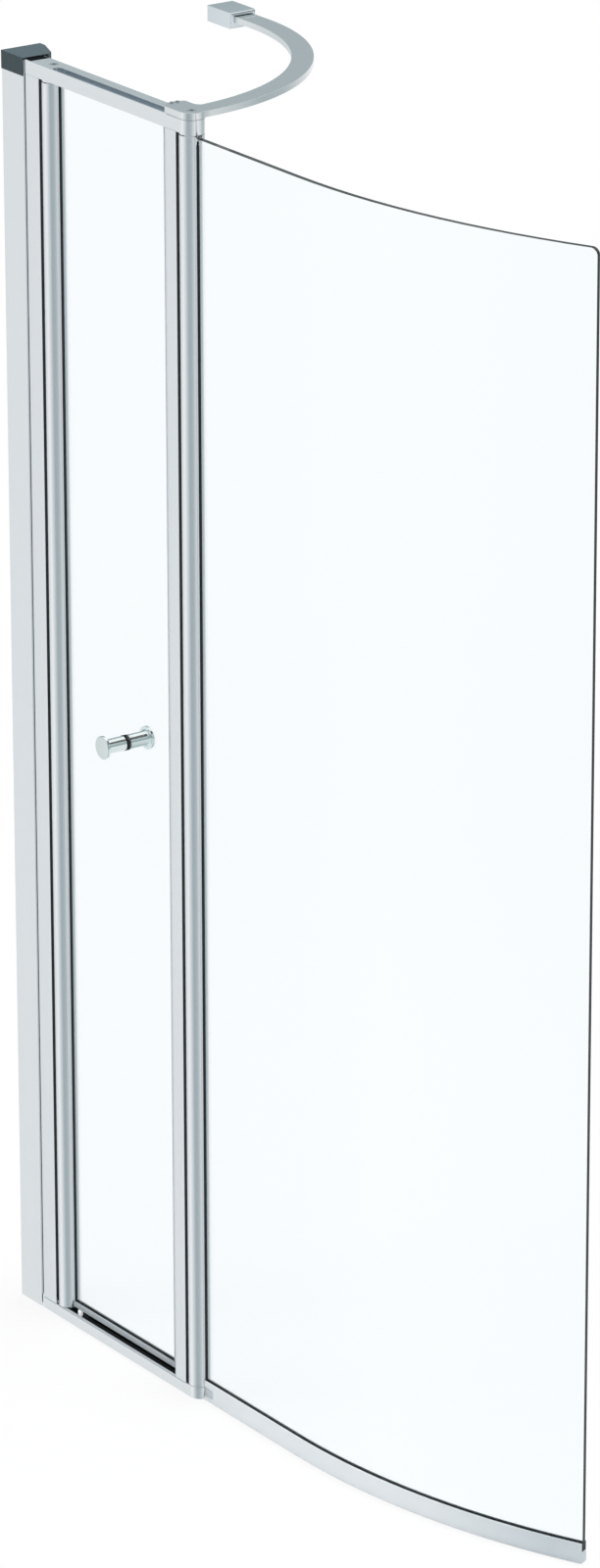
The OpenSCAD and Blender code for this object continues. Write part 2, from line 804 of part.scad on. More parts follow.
// Rubber channel that holds the glass in the post's slot. Only its front lip shows.
module gasket(axis_x, z) {
    color(black) raise(z) translate([axis_x, 0]) {
        area([slot_x, glass_seat], [-slot_h, slot_back]);
        area([slot_x, gasket_reach], [-slot_h, -glass_h]);
        area([slot_x, post_r - 1], [glass_h, slot_back]);
    }
}

module door_gasket() {
    gasket(door_x, [gasket_z, door_glass_z[1]]);
}

module panel_gasket() {
    gasket(panel_x, [gasket_z, panel_glass_z[1] - 6.3]);
}

module door_glass() {
    x = door_glass_x;
    z = door_glass_z;
    color(clear) difference() {
        along_y([-glass_h, glass_h])
            polygon(rounded([[x[0], z[0]], [x[1], z[0]], [x[1], z[1]], [x[0], z[1]]],
                [1, door_corner, door_corner, 1]));
        at_knob() translate([0, 0, -glass_t]) cylinder(r = sleeve_r, h = 2 * glass_t);
    }
}

// Translucent strip on the door's free edge, with a round bulb that meets the right stile
module door_edge_seal() {
    grip = 7;
    edge_x = door_glass_x[1];
    bulb_r = 2.1;
    bulb_x = strike_x - bulb_r - 0.3;
    color(frosted) raise([gasket_z, door_glass_z[1]]) difference() {
        union() {
            area([edge_x - grip, edge_x + seal_t], [-glass_h - seal_t, glass_h + seal_t]);
            translate([bulb_x, 0]) circle(r = bulb_r);
            area([edge_x, bulb_x], [-0.8, 0.8]);
        }
        area([edge_x - grip - past, edge_x], [-glass_h, glass_h]);
        translate([bulb_x, 0]) circle(r = bulb_r - 0.9);
    }
}

module door_seal_liner() {
    x = [door_x + seal_start, door_glass_x[1]];
    color(black) difference() {
        slab(x, [-liner_h, liner_h], [door_foot - liner_t, liner_top]);
        slab([x[0] - past, x[1] + past], [-glass_h, glass_h], [door_foot, liner_top + past]);
    }
}

module door_drip_seal() {
    x = [door_x + seal_start, door_glass_x[1]];
    foot = door_foot - liner_t;
    color(frosted) difference() {
        slab(x, [-seal_h, seal_h], [foot - seal_t, seal_top]);
        slab([x[0] - past, x[1] + past], [-liner_h, liner_h], [foot, seal_top + past]);
    }
}

// Turns what follows so that its Z axis points out of the glass, to the outside of the bath
module at_knob() {
    translate([door_x + knob_x, 0, knob_z]) rotate([90, 0, 0]) children();
}

// Knob turned from bar: straight neck, small fillet and flat round head
module knob() {
    fillet_r = 2;
    edge_r = 1;
    head_z = knob_len - knob_head_t;
    n = 6;
    neck = [for (i = [0 : n]) let (a = 90 * i / n)
        [knob_neck_r + fillet_r * (1 - cos(a)), head_z - fillet_r * (1 - sin(a))]];
    rim = [for (i = [0 : n]) let (a = 90 * i / n)
        [knob_head_r - edge_r * (1 - cos(a)), knob_len - edge_r * (1 - sin(a))]];
    color(polished) translate([0, 0, glass_h]) difference() {
        rotate_extrude() polygon(concat([[0, ring_t], [knob_neck_r, ring_t]], neck,
            [[knob_head_r, head_z]], rim, [[0, knob_len]]));
        cylinder(r = stud_r + screw_play, h = stud_grip + 2);
    }
}

module outer_knob() {
    at_knob() knob();
}

module inner_knob() {
    at_knob() mirror([0, 0, 1]) knob();
}

module knob_gaskets() {
    color(black) at_knob() for (side = [0, 1]) mirror([0, 0, side])
        translate([0, 0, glass_h]) difference() {
            cylinder(r = knob_neck_r + 0.4, h = ring_t);
            translate([0, 0, -past]) cylinder(r = stud_r + screw_play, h = ring_t + 2 * past);
        }
}

module knob_sleeve() {
    color(nylon) at_knob() translate([0, 0, -glass_h]) difference() {
        cylinder(r = sleeve_r - play, h = glass_t);
        translate([0, 0, -past]) cylinder(r = stud_r + screw_play, h = glass_t + 2 * past);
    }
}

module knob_stud() {
    color(steel) at_knob() translate([0, 0, -glass_h - stud_grip])
        cylinder(r = stud_r, h = glass_t + 2 * stud_grip);
}

// Plan of the curved panel between two depths, from a start X round the bend
module bent_plan(y, x0, extra_a = 0) {
    far = bend_r * 1.5;
    a = bend_a + extra_a;
    area([x0, bend_x], y);
    translate([bend_x, bend_r]) intersection() {
        difference() {
            circle(r = bend_r - y[0], $fn = wide_fn);
            circle(r = bend_r - y[1], $fn = wide_fn);
        }
        polygon([[0, 0], [0, -far], [far * sin(a), -far * cos(a)]]);
    }
}

// Moves what follows to the free end of the curved panel, with X along the glass
module at_free_end() {
    translate([bend_x, bend_r, 0]) rotate([0, 0, bend_a]) translate([0, -bend_r, 0]) children();
}

// The corner is cut with short straight facets that start just outside the top and end edges
module panel_glass() {
    r = panel_corner;
    n = 10;
    z = panel_glass_z[1];
    out = 0.02;
    arc = [for (i = [0 : n]) let (a = 90 - 90 * i / n) [-r + (r + out) * cos(a), z - r + (r + out) * sin(a)]];
    color(clear) difference() {
        raise(panel_glass_z) bent_plan([-glass_h, glass_h], panel_x + glass_seat);
        at_free_end() along_y([-glass_t, glass_t])
            polygon(concat([[past, z - r], [past, z + past], [-r, z + past]], arc));
    }
}

module panel_seal_liner() {
    x = panel_x + seal_start;
    color(black) difference() {
        raise([panel_foot - liner_t, liner_top]) bent_plan([-liner_h, liner_h], x);
        raise([panel_foot, liner_top + past]) bent_plan([-glass_h, glass_h], x - past, 0.2);
    }
}

// Flexible sweep that grips the lined glass and wipes the rim of the bath.
// A rounded pocket in its front leaves room for the post's foot.
module panel_sweep() {
    x = panel_x + seal_start;
    foot = panel_foot - liner_t;
    pocket_z = [5, 15.5];
    color(frosted) difference() {
        raise([sweep_gap, seal_top]) bent_plan([-seal_h, seal_h], x);
        raise([foot, seal_top + past]) bent_plan([-liner_h, liner_h], x - past, 0.2);
        along_y([-seal_h - past, -seal_h + 1])
            polygon(rounded([[x - past, pocket_z[0]], [x + pocket_l, pocket_z[0]],
                [x + pocket_l, pocket_z[1]], [x - past, pocket_z[1]]], [0, 3, 3, 0]));
    }
}

wall_profile();
profile_cover();
profile_cap();
adjust_screws();
left_stile();
right_stile();
top_rail();
bottom_rail();
rail_plugs();
door_top_block();
door_bottom_block();
top_end_block();
bottom_end_block();
frame_screws();
door_pivot_pins();
panel_pivot_pins();
sill_gasket();
sill_stop();
stay_arm();
stay_screws();
stay_bracket();
bracket_screw();
door_post();
door_bushes();
door_gasket();
door_glass();
door_edge_seal();
door_seal_liner();
door_drip_seal();
outer_knob();
inner_knob();
knob_gaskets();
knob_sleeve();
knob_stud();
panel_post();
panel_bushes();
panel_gasket();
panel_glass();
panel_seal_liner();
panel_sweep();
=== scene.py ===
"""Looks of the bath shower screen: materials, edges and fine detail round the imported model."""

import json
import math

import bmesh
import bpy
from mathutils import Matrix, Vector


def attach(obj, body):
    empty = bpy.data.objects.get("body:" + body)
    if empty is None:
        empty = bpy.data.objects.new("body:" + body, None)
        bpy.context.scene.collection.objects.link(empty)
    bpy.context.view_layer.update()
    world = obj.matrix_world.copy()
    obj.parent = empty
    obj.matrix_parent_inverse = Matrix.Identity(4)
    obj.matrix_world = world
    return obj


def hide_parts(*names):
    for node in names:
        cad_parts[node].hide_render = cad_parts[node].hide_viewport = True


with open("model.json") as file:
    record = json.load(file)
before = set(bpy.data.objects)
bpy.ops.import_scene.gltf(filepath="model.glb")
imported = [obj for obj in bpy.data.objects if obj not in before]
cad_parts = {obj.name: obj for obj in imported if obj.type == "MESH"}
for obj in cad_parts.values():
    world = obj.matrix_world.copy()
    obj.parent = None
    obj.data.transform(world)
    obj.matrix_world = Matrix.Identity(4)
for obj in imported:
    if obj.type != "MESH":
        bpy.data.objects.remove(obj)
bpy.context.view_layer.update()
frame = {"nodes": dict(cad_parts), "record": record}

MM = 0.001

# Camera, from the photograph: 612 x 1600 pixels
IMAGE_W, IMAGE_H = 612, 1600
FOCAL_PX = 7704.8
CENTRE_PX = (316.44, 801.46)
CAMERA_AT = Vector((6.3989, -4.0804, 3.3640))
YAW, PITCH, ROLL = (math.radians(a) for a in (34.832, 20.100, -0.1141))
SENSOR_MM = 36.0
VIEW_REACH = 100

# Soft panels of the studio, mirrored below the horizon: plan angle in degrees, and brightness
STUDIO_PANELS = [
    (-180, 0.78), (180, 0.78), (-161, 0.80), (-145, 0.86), (-125, 1.0), (-113, 0.92), (-103, 0.80),
    (-93, 0.72), (-84, 0.61), (-74, 0.47), (-57, 0.46), (-40, 0.52), (-32, 0.60), (-24, 0.71), (-15, 0.78),
    (-4, 0.92), (12, 0.93), (35, 0.84), (60, 0.64), (72, 0.52), (90, 0.56), (106, 0.74), (128, 0.95),
    (145, 0.86), (160, 0.76),
]
# Brightness above the horizon: sine of the height, and brightness
PLAIN_SKY = [(-0.05, 0.0), (0.05, 0.47), (0.28, 0.50), (0.36, 0.55), (0.60, 0.48), (0.70, 1.2), (1.0, 1.2)]
BEAM_SKY = [
    (-0.05, 0.0), (0.05, 0.47), (0.36, 0.50), (0.46, 0.74), (0.57, 0.76), (0.62, 0.02), (0.90, 0.02),
    (0.94, 1.2), (1.0, 1.2),
]
WINDOW_SKY = [(-0.05, 0.0), (0.03, 0.35), (0.10, 0.50), (0.20, 0.75), (0.28, 1.0), (1.0, 1.2)]
# Where the plain sky gives way to the sky with the dark beam, and both to the one with the
# window: plan angle in degrees, and share
BEAM = [(-180, 0.0), (180, 0.0), (8, 0.0), (18, 1.0), (72, 1.0), (80, 0.0)]
WINDOW = [(-180, 0.0), (180, 0.0), (72, 0.0), (82, 1.0), (118, 1.0), (134, 0.0)]
HORIZON_BLEND = 0.08
WORLD_LIGHT = 0.62

# Lamps: place, aim and size in metres, and power in watts
LAMPS = {
    "key": ((-2.2, -4.5, 4.2), (0.4, 0, 0.7), (3.0, 3.0), 90),
    "fill": ((4.5, 3.0, 3.6), (0.4, 0, 0.7), (3.0, 3.0), 60),
    "top": ((0.5, 0.4, 5.6), (0.5, 0.4, 0.0), (5.0, 5.0), 420),
}

# Floor: half its side and its fade in metres, its depth under the object, and its greys
FLOOR_HALF = 40.0
FLOOR_DROP = 0.3 * MM
FADE_FROM, FADE_TO = 0.8, 2.5
NEAR_WHITE = 0.84
FLOOR_BOUNCE, FLOOR_LIT = 0.86, 0.56

NOISE_MIDDLE = (0.3, 0.7)
SHADE_TINT = (1.0, 1.05, 1.08)

# Meshes: distance at which points are one, and the angles of flat and of sharp edges
WELD = 0.002 * MM
FLAT_ANGLE, SHARP_ANGLE = math.radians(0.5), math.radians(28)

# Places on the frame, for the painted shade that changes within a node
DOOR_X, PANEL_X = 77.9 * MM, 329.8 * MM
POST_R, HOLLOW_R, HOLLOW_SLACK = 13.5 * MM, 15.9 * MM, 0.3 * MM
BEND = math.radians(26.75)
CAP_MIDDLE_X, CAP_MIDDLE_Y = 20 * MM, 8 * MM
PROFILE_TOP = 1380 * MM
STRIKE_SHADE_X = (298.2 * MM, 304.5 * MM)
SWEEP_SHADE_X = (855 * MM, 715 * MM)
# Boxes round the trough of the top rail and the pocket at the post end of the sweep: range of x, of y and of z
TROUGH = ((90 * MM, math.inf), (-13.2 * MM, -2.4 * MM), (1392 * MM, 1399.9 * MM))
POCKET = ((PANEL_X + 13 * MM, PANEL_X + 31.5 * MM), (-5.3 * MM, -4.0 * MM), (4 * MM, 16.5 * MM))

# Black strip that paints the shadow in the joint under the stay's foot: its start, height, half its width, its
# depth and how far it stands out
JOINT_FROM_X, JOINT_Z = 305.0 * MM, 1399.0 * MM
JOINT_HALF, JOINT_DEPTH, JOINT_OUT = 0.17 * MM, 0.4 * MM, 0.06 * MM
JOINT_ANGLES, JOINT_STEPS = (-90, 60), 24

# Black sheets that paint the shadow beside the cap, over the rail's notch and behind the rail: size and middle in
# mm
CAP_SHADOW_SHEETS = {
    "cap_shadow_top": ((10.0, 22.4, 1.35), (49.4, -1.65, 1399.42)),
    "cap_shadow_back": ((3.6, 5.4, 6.0), (42.35, 12.6, 1396.6)),
}


def add_camera():
    forward = Vector((-math.cos(YAW) * math.cos(PITCH), math.sin(YAW) * math.cos(PITCH), -math.sin(PITCH)))
    level = forward.cross(Vector((0, 0, 1))).normalized()
    upright = level.cross(forward)
    right = math.cos(ROLL) * level + math.sin(ROLL) * upright
    up = right.cross(forward)
    data = bpy.data.cameras.new("camera")
    data.sensor_fit = "VERTICAL"
    data.sensor_height = SENSOR_MM
    data.lens = SENSOR_MM * FOCAL_PX / IMAGE_H
    data.shift_x = (IMAGE_W / 2 - CENTRE_PX[0]) / IMAGE_H
    data.shift_y = (CENTRE_PX[1] - IMAGE_H / 2) / IMAGE_H
    data.clip_end = VIEW_REACH
    camera = bpy.data.objects.new("camera", data)
    camera.matrix_world = Matrix.Translation(CAMERA_AT) @ Matrix((right, up, -forward)).transposed().to_4x4()
    bpy.context.collection.objects.link(camera)
    bpy.context.scene.camera = camera


# Shader nodes

def node_material(name):
    mat = bpy.data.materials.new(name)
    mat.use_nodes = True
    nodes, links = mat.node_tree.nodes, mat.node_tree.links
    return mat, nodes, links, nodes["Principled BSDF"]


def stretched_noise(nodes, links, scale, stretch, detail):
    """Noise on object coordinates, stretched along one axis"""
    where = nodes.new("ShaderNodeTexCoord")
    mapping = nodes.new("ShaderNodeMapping")
    mapping.inputs["Scale"].default_value = stretch
    noise = nodes.new("ShaderNodeTexNoise")
    noise.inputs["Scale"].default_value = scale
    noise.inputs["Detail"].default_value = detail
    links.new(where.outputs["Object"], mapping.inputs["Vector"])
    links.new(mapping.outputs["Vector"], noise.inputs["Vector"])
    return noise.outputs["Fac"]


def ranged(nodes, links, value, low=0.0, high=1.0, first=0.0, last=1.0):
    """Maps low..high to first..last; a value outside low..high gives the nearer end"""
    ramp = nodes.new("ShaderNodeMapRange")
    for name, number in (("From Min", low), ("From Max", high), ("To Min", first), ("To Max", last)):
        ramp.inputs[name].default_value = number
    links.new(value, ramp.inputs["Value"])
    return ramp.outputs["Result"]


def vary(nodes, links, noise, first, last):
    """Maps a noise's middle range to first..last"""
    return ranged(nodes, links, noise, *NOISE_MIDDLE, first, last)


def larger(nodes, links, first, second):
    pick = nodes.new("ShaderNodeMath")
    pick.operation = "MAXIMUM"
    links.new(first, pick.inputs[0])
    links.new(second, pick.inputs[1])
    return pick.outputs["Value"]


def colour_mix(nodes):
    mix = nodes.new("ShaderNodeMix")
    mix.data_type = "RGBA"
    return mix


def colour_between(nodes, links, factor, first, second):
    """Colour from first to second, which are constants"""
    mix = colour_mix(nodes)
    mix.inputs["A"].default_value = (*first, 1)
    mix.inputs["B"].default_value = (*second, 1)
    links.new(factor, mix.inputs["Factor"])
    return mix.outputs["Result"]


def mixed(nodes, links, factor, first, second):
    """Colour from first to second, which are sockets"""
    mix = colour_mix(nodes)
    links.new(factor, mix.inputs["Factor"])
    links.new(first, mix.inputs["A"])
    links.new(second, mix.inputs["B"])
    return mix.outputs["Result"]


def shader_between(nodes, links, factor, first, second):
    mix = nodes.new("ShaderNodeMixShader")
    links.new(factor, mix.inputs["Fac"])
    links.new(first, mix.inputs[1])
    links.new(second, mix.inputs[2])
    return mix.outputs["Shader"]


def bumped(nodes, links, shader, height, strength, distance):
    bump = nodes.new("ShaderNodeBump")
    bump.inputs["Strength"].default_value = strength
    bump.inputs["Distance"].default_value = distance
    links.new(height, bump.inputs["Height"])
    links.new(bump.outputs["Normal"], shader.inputs["Normal"])


# Materials

def metal(name, first, second, rough, metallic=1.0, stretch=(1, 1, 1), grain=0.0, scale=30.0):
    """Metal with fine lines along the way it was drawn or turned"""
    mat, nodes, links, shader = node_material(name)
    noise = stretched_noise(nodes, links, scale, stretch, detail=3.0)
    links.new(colour_between(nodes, links, noise, first, second), shader.inputs["Base Color"])
    links.new(vary(nodes, links, noise, rough * 0.9, rough * 1.12), shader.inputs["Roughness"])
    shader.inputs["Metallic"].default_value = metallic
    if grain:
        bumped(nodes, links, shader, noise, grain, 0.2 * MM)
    return mat


def plastic(name, first, second, rough, shine=0.5, glow=0.0):
    """Plastic or rubber; glow is painted light, an emission that stands for the light that passes through a pale
    one
    """
    mat, nodes, links, shader = node_material(name)
    shader.inputs["Specular IOR Level"].default_value = shine
    shader.inputs["Emission Color"].default_value = (*second, 1)
    shader.inputs["Emission Strength"].default_value = glow
    noise = stretched_noise(nodes, links, scale=220.0, stretch=(1, 1, 1), detail=4.0)
    links.new(colour_between(nodes, links, noise, first, second), shader.inputs["Base Color"])
    links.new(vary(nodes, links, noise, rough * 0.9, rough * 1.1), shader.inputs["Roughness"])
    bumped(nodes, links, shader, noise, strength=0.08, distance=0.1 * MM)
    return mat


def clear_glass():
    """Clear glass that lets light through to what is behind it"""
    mat, nodes, links, shader = node_material("glass")
    noise = stretched_noise(nodes, links, scale=1.2, stretch=(1, 1, 0.6), detail=1.0)
    links.new(colour_between(nodes, links, noise, (0.942, 0.980, 1.0), (0.952, 0.985, 1.0)),
        shader.inputs["Base Color"])
    shader.inputs["Roughness"].default_value = 0.0
    shader.inputs["IOR"].default_value = 1.5
    shader.inputs["Transmission Weight"].default_value = 1.0
    through = nodes.new("ShaderNodeBsdfTransparent")
    through.inputs["Color"].default_value = (0.96, 0.985, 0.98, 1)
    path = nodes.new("ShaderNodeLightPath")
    either = larger(nodes, links, path.outputs["Is Shadow Ray"], path.outputs["Is Diffuse Ray"])
    links.new(shader_between(nodes, links, either, shader.outputs["BSDF"], through.outputs["BSDF"]),
        nodes["Material Output"].inputs["Surface"])
    return mat


def milky_seal():
    """Translucent extruded seal"""
    mat, nodes, links, shader = node_material("clear_seal")
    noise = stretched_noise(nodes, links, scale=9.0, stretch=(1, 1, 1), detail=2.0)
    links.new(colour_between(nodes, links, noise, (0.70, 0.735, 0.76), (0.75, 0.785, 0.81)),
        shader.inputs["Base Color"])
    links.new(vary(nodes, links, noise, 0.28, 0.38), shader.inputs["Roughness"])
    shader.inputs["Transmission Weight"].default_value = 0.2
    shader.inputs["IOR"].default_value = 1.4
    return mat


def make_materials():
    return {
        "aluminium": metal("aluminium", (0.815, 0.835, 0.855), (0.835, 0.855, 0.875), rough=0.16, metallic=0.96,
            stretch=(1, 1, 0.02), grain=0.01, scale=60.0),
        "chrome": metal("chrome", (0.80, 0.82, 0.83), (0.82, 0.84, 0.85), rough=0.12),
        "slate_plastic": plastic("slate_plastic", (0.029, 0.046, 0.053), (0.034, 0.053, 0.061), rough=0.6,
            shine=0.35),
        # Painted light: the white nylon glows a little
        "white_nylon": plastic("white_nylon", (0.88, 0.90, 0.92), (0.91, 0.93, 0.95), rough=0.4, glow=0.4),
        "black_rubber": plastic("black_rubber", (0.009, 0.011, 0.013), (0.013, 0.016, 0.018), rough=0.6,
            shine=0.2),
        "clear_seal": milky_seal(),
        "steel": metal("steel", (0.52, 0.54, 0.56), (0.60, 0.62, 0.64), rough=0.25, grain=0.02, scale=90.0),
        "glass": clear_glass(),
    }


def darkened(base, name, factor):
    """Same finish as base with its colour multiplied darker: painted shade in grooves and hollows, a darker tone
    elsewhere
    """
    mat = base.copy()
    mat.name = name
    nodes, links = mat.node_tree.nodes, mat.node_tree.links
    shader = nodes["Principled BSDF"]
    colour = shader.inputs["Base Color"].links[0].from_socket
    shade = colour_mix(nodes)
    shade.blend_type = "MULTIPLY"
    shade.inputs["Factor"].default_value = 1.0
    shade.inputs["B"].default_value = (*(factor * tint for tint in SHADE_TINT), 1)
    links.new(colour, shade.inputs["A"])
    links.new(shade.outputs["Result"], shader.inputs["Base Color"])
    return mat


def shaded_along_x(base, name, dark_x, light_x, factor):
    """Same finish as base, growing darker towards dark_x"""
    mat = darkened(base, name, factor)
    nodes, links = mat.node_tree.nodes, mat.node_tree.links
    shade = nodes["Principled BSDF"].inputs["Base Color"].links[0].from_node
    where = nodes.new("ShaderNodeTexCoord")
    split = nodes.new("ShaderNodeSeparateXYZ")
    links.new(where.outputs["Object"], split.inputs["Vector"])
    links.new(ranged(nodes, links, split.outputs["X"], dark_x, light_x, first=1.0, last=0.0),
        shade.inputs["Factor"])
    return mat


# Pieces that stand for a CAD node, with broken edges and, where asked, painted shade on some faces as a second
# material

def cut_to_edges(mesh):
    """Joins the CAD triangles into whole faces, so that only real edges are left"""
    work = bmesh.new()
    work.from_mesh(mesh)
    bmesh.ops.remove_doubles(work, verts=work.verts, dist=WELD)
    bmesh.ops.dissolve_limit(work, angle_limit=FLAT_ANGLE, verts=work.verts, edges=work.edges)
    for face in work.faces:
        face.smooth = True
    for edge in work.edges:
        edge.smooth = len(edge.link_faces) == 2 and edge.calc_face_angle(0) < SHARP_ANGLE
    work.to_mesh(mesh)
    work.free()


def round_edges(piece, width, segments):
    bevel = piece.modifiers.new("edges", "BEVEL")
    bevel.width = width
    bevel.segments = segments
    return bevel


def softened(name, body, width, finish, second=None, shade_where=None, edge_highlight=None):
    """New piece in place of a node, with its sharp edges rounded by width"""
    node = frame["nodes"][name]
    mesh = node.data.copy()
    mesh.name = name + "_look"
    mesh.transform(node.matrix_world)
    cut_to_edges(mesh)
    piece = bpy.data.objects.new(name + "_look", mesh)
    bpy.context.collection.objects.link(piece)
    mesh.materials.clear()
    mesh.materials.append(finish)
    if second:
        mesh.materials.append(second)
        for face in mesh.polygons:
            face.material_index = 1 if shade_where(face.center, face.normal) else 0
    bevel = round_edges(piece, width, segments=3)
    bevel.limit_method = "ANGLE"
    bevel.angle_limit = SHARP_ANGLE
    bevel.harden_normals = True
    # The rounded edges get a painted highlight
    if edge_highlight:
        mesh.materials.append(edge_highlight)
        bevel.material = len(mesh.materials) - 1
    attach(piece, body)
    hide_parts(name)


# Tests for the faces that get painted shade: each gets the middle and the normal of a face

def in_hollow(axis_x):
    """Faces of the round hollow that a post turns in"""
    def test(centre, normal):
        away = Vector((centre.x - axis_x, centre.y, 0))
        return away.length < HOLLOW_R + HOLLOW_SLACK and away.normalized().dot(normal) < -0.8
    return test


def in_box(box):
    """Faces inside a box: the trough of the top rail, or the pocket of the sweep"""
    def test(centre, normal):
        return all(low < place < high for place, (low, high) in zip(centre, box))
    return test


def in_cap(centre, normal):
    """Faces inside the cap, which get painted shade"""
    inwards = (CAP_MIDDLE_X - centre.x) * normal.x + (CAP_MIDDLE_Y - centre.y) * normal.y > 0
    return normal.z < -0.5 or abs(normal.z) < 0.5 and inwards


def under_cap(centre, normal):
    """Top end of the wall profile and its cover"""
    return normal.z > 0.9 and centre.z > PROFILE_TOP


def at_pane_edge(centre, normal):
    """Narrow faces at the top and the ends of a pane, not its two broad ones"""
    end = Vector((math.cos(BEND), math.sin(BEND), 0))
    return normal.z > 0.1 or normal.x < -0.9 or normal.dot(end) > 0.5


# Pieces that are in the scene alone

def add_piece(work, name, body, finish):
    mesh = bpy.data.meshes.new(name)
    work.to_mesh(mesh)
    work.free()
    mesh.materials.append(finish)
    piece = bpy.data.objects.new(name, mesh)
    bpy.context.collection.objects.link(piece)
    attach(piece, body)
    return piece


def add_foot_joint_shadow(finish):
    """Thin black strip, painted shadow in the joint under the stay's foot, along the front and round the end of
    the frame
    """
    reach = POST_R + JOINT_OUT
    path = [(JOINT_FROM_X, -reach, 0.0, -1.0)]
    start, end = JOINT_ANGLES
    for step in range(JOINT_STEPS + 1):
        a = math.radians(start + (end - start) * step / JOINT_STEPS)
        path.append((PANEL_X + reach * math.cos(a), reach * math.sin(a), math.cos(a), math.sin(a)))
    low, high = JOINT_Z - JOINT_HALF, JOINT_Z + JOINT_HALF
    work = bmesh.new()
    rows = []
    for x, y, nx, ny in path:
        inner_x, inner_y = x - nx * JOINT_DEPTH, y - ny * JOINT_DEPTH
        row = [(x, y, low), (x, y, high), (inner_x, inner_y, high), (inner_x, inner_y, low)]
        rows.append([work.verts.new(point) for point in row])
    for row, following in zip(rows, rows[1:]):
        for i in range(4):
            work.faces.new((row[i], row[(i + 1) % 4], following[(i + 1) % 4], following[i]))
    work.faces.new(rows[0][::-1])
    work.faces.new(rows[-1])
    bmesh.ops.recalc_face_normals(work, faces=work.faces)
    add_piece(work, "foot_joint_shadow", "frame", finish)


# Painted shadow: near-black boxes laid where shade falls beside and behind the cap
def add_cap_shadow_sheets(finish):
    for name, (size, middle) in CAP_SHADOW_SHEETS.items():
        work = bmesh.new()
        bmesh.ops.create_cube(work, size=1.0)
        bmesh.ops.scale(work, verts=work.verts, vec=Vector(size) * MM)
        bmesh.ops.translate(work, verts=work.verts, vec=Vector(middle) * MM)
        round_edges(add_piece(work, name, "frame", finish), 0.05 * MM, segments=2)


# Stage: pale floor, soft lamps and an even world

def fade_outwards(nodes, links):
    """Share of plain white on the floor: it grows away from the object, where no shadow falls"""
    where = nodes.new("ShaderNodeTexCoord")
    away = nodes.new("ShaderNodeVectorMath")
    away.operation = "LENGTH"
    links.new(where.outputs["Object"], away.inputs[0])
    return ranged(nodes, links, away.outputs["Value"], FADE_FROM, FADE_TO, NEAR_WHITE, 1.0)


def add_floor():
    """Floor that is near white where it is seen, also through glass, and lights the object from below"""
    mesh = bpy.data.meshes.new("floor")
    half = FLOOR_HALF
    mesh.from_pydata([(-half, -half, 0), (half, -half, 0), (half, half, 0), (-half, half, 0)], [], [(0, 1, 2, 3)])
    floor = bpy.data.objects.new("floor", mesh)
    floor.location.z = -FLOOR_DROP
    floor.visible_glossy = False
    bpy.context.collection.objects.link(floor)
    mat, nodes, links, shader = node_material("floor")
    shader.inputs["Base Color"].default_value = (FLOOR_BOUNCE, FLOOR_BOUNCE, FLOOR_BOUNCE, 1)
    shader.inputs["Roughness"].default_value = 0.9
    lit = nodes.new("ShaderNodeBsdfDiffuse")
    lit.inputs["Color"].default_value = (FLOOR_LIT, FLOOR_LIT, FLOOR_LIT, 1)
    white = nodes.new("ShaderNodeEmission")
    white.inputs["Color"].default_value = (1, 1, 1, 1)
    white.inputs["Strength"].default_value = 1.0
    path = nodes.new("ShaderNodeLightPath")
    seen = larger(nodes, links, path.outputs["Is Camera Ray"], path.outputs["Is Glossy Ray"])
    seen = larger(nodes, links, seen, path.outputs["Is Transmission Ray"])
    shade = shader_between(nodes, links, fade_outwards(nodes, links), lit.outputs["BSDF"],
        white.outputs["Emission"])
    links.new(shader_between(nodes, links, seen, shader.outputs["BSDF"], shade),
        nodes["Material Output"].inputs["Surface"])
    mesh.materials.append(mat)


def add_lamp(name, at, aim, size, power):
    """Soft lamp that lights the object but isn't mirrored, nor seen through glass"""
    data = bpy.data.lights.new(name, "AREA")
    data.shape = "RECTANGLE"
    data.size, data.size_y = size
    data.energy = power
    lamp = bpy.data.objects.new(name, data)
    lamp.location = at
    lamp.rotation_euler = (Vector(aim) - Vector(at)).to_track_quat("-Z", "Y").to_euler()
    lamp.visible_glossy = False
    lamp.visible_transmission = False
    bpy.context.collection.objects.link(lamp)


def tinted(grey):
    """Neutral light, cooler where it is darker"""
    return grey ** 1.2, grey, grey ** 0.94, 1


def tone_ramp(nodes, links, place, tones):
    """Ramp over a 0 to 1 value: tones are pairs of place and brightness, first two for the ramp's own stops"""
    ramp = nodes.new("ShaderNodeValToRGB")
    stops = ramp.color_ramp.elements
    for index, (at, grey) in enumerate(tones):
        stop = stops[index] if index < 2 else stops.new(at)
        stop.position = at
        stop.color = tinted(grey)
    links.new(place, ramp.inputs["Fac"])
    return ramp.outputs["Color"]


def round_ramp(nodes, links, turn, tones):
    """Ramp over the plan angle"""
    return tone_ramp(nodes, links, turn, [((angle + 180) / 360, grey) for angle, grey in tones])


def height_ramp(nodes, links, height, tones):
    """Ramp over the sine of the height"""
    return tone_ramp(nodes, links, height, [((z + 1) / 2, grey) for z, grey in tones])


def studio_angle(nodes, links, split):
    """Turns a direction into its plan angle, from 0 at -180 degrees to 1 at 180 degrees"""
    angle = nodes.new("ShaderNodeMath")
    angle.operation = "ARCTAN2"
    links.new(split.outputs["Y"], angle.inputs[0])
    links.new(split.outputs["X"], angle.inputs[1])
    return ranged(nodes, links, angle.outputs["Value"], -math.pi, math.pi)


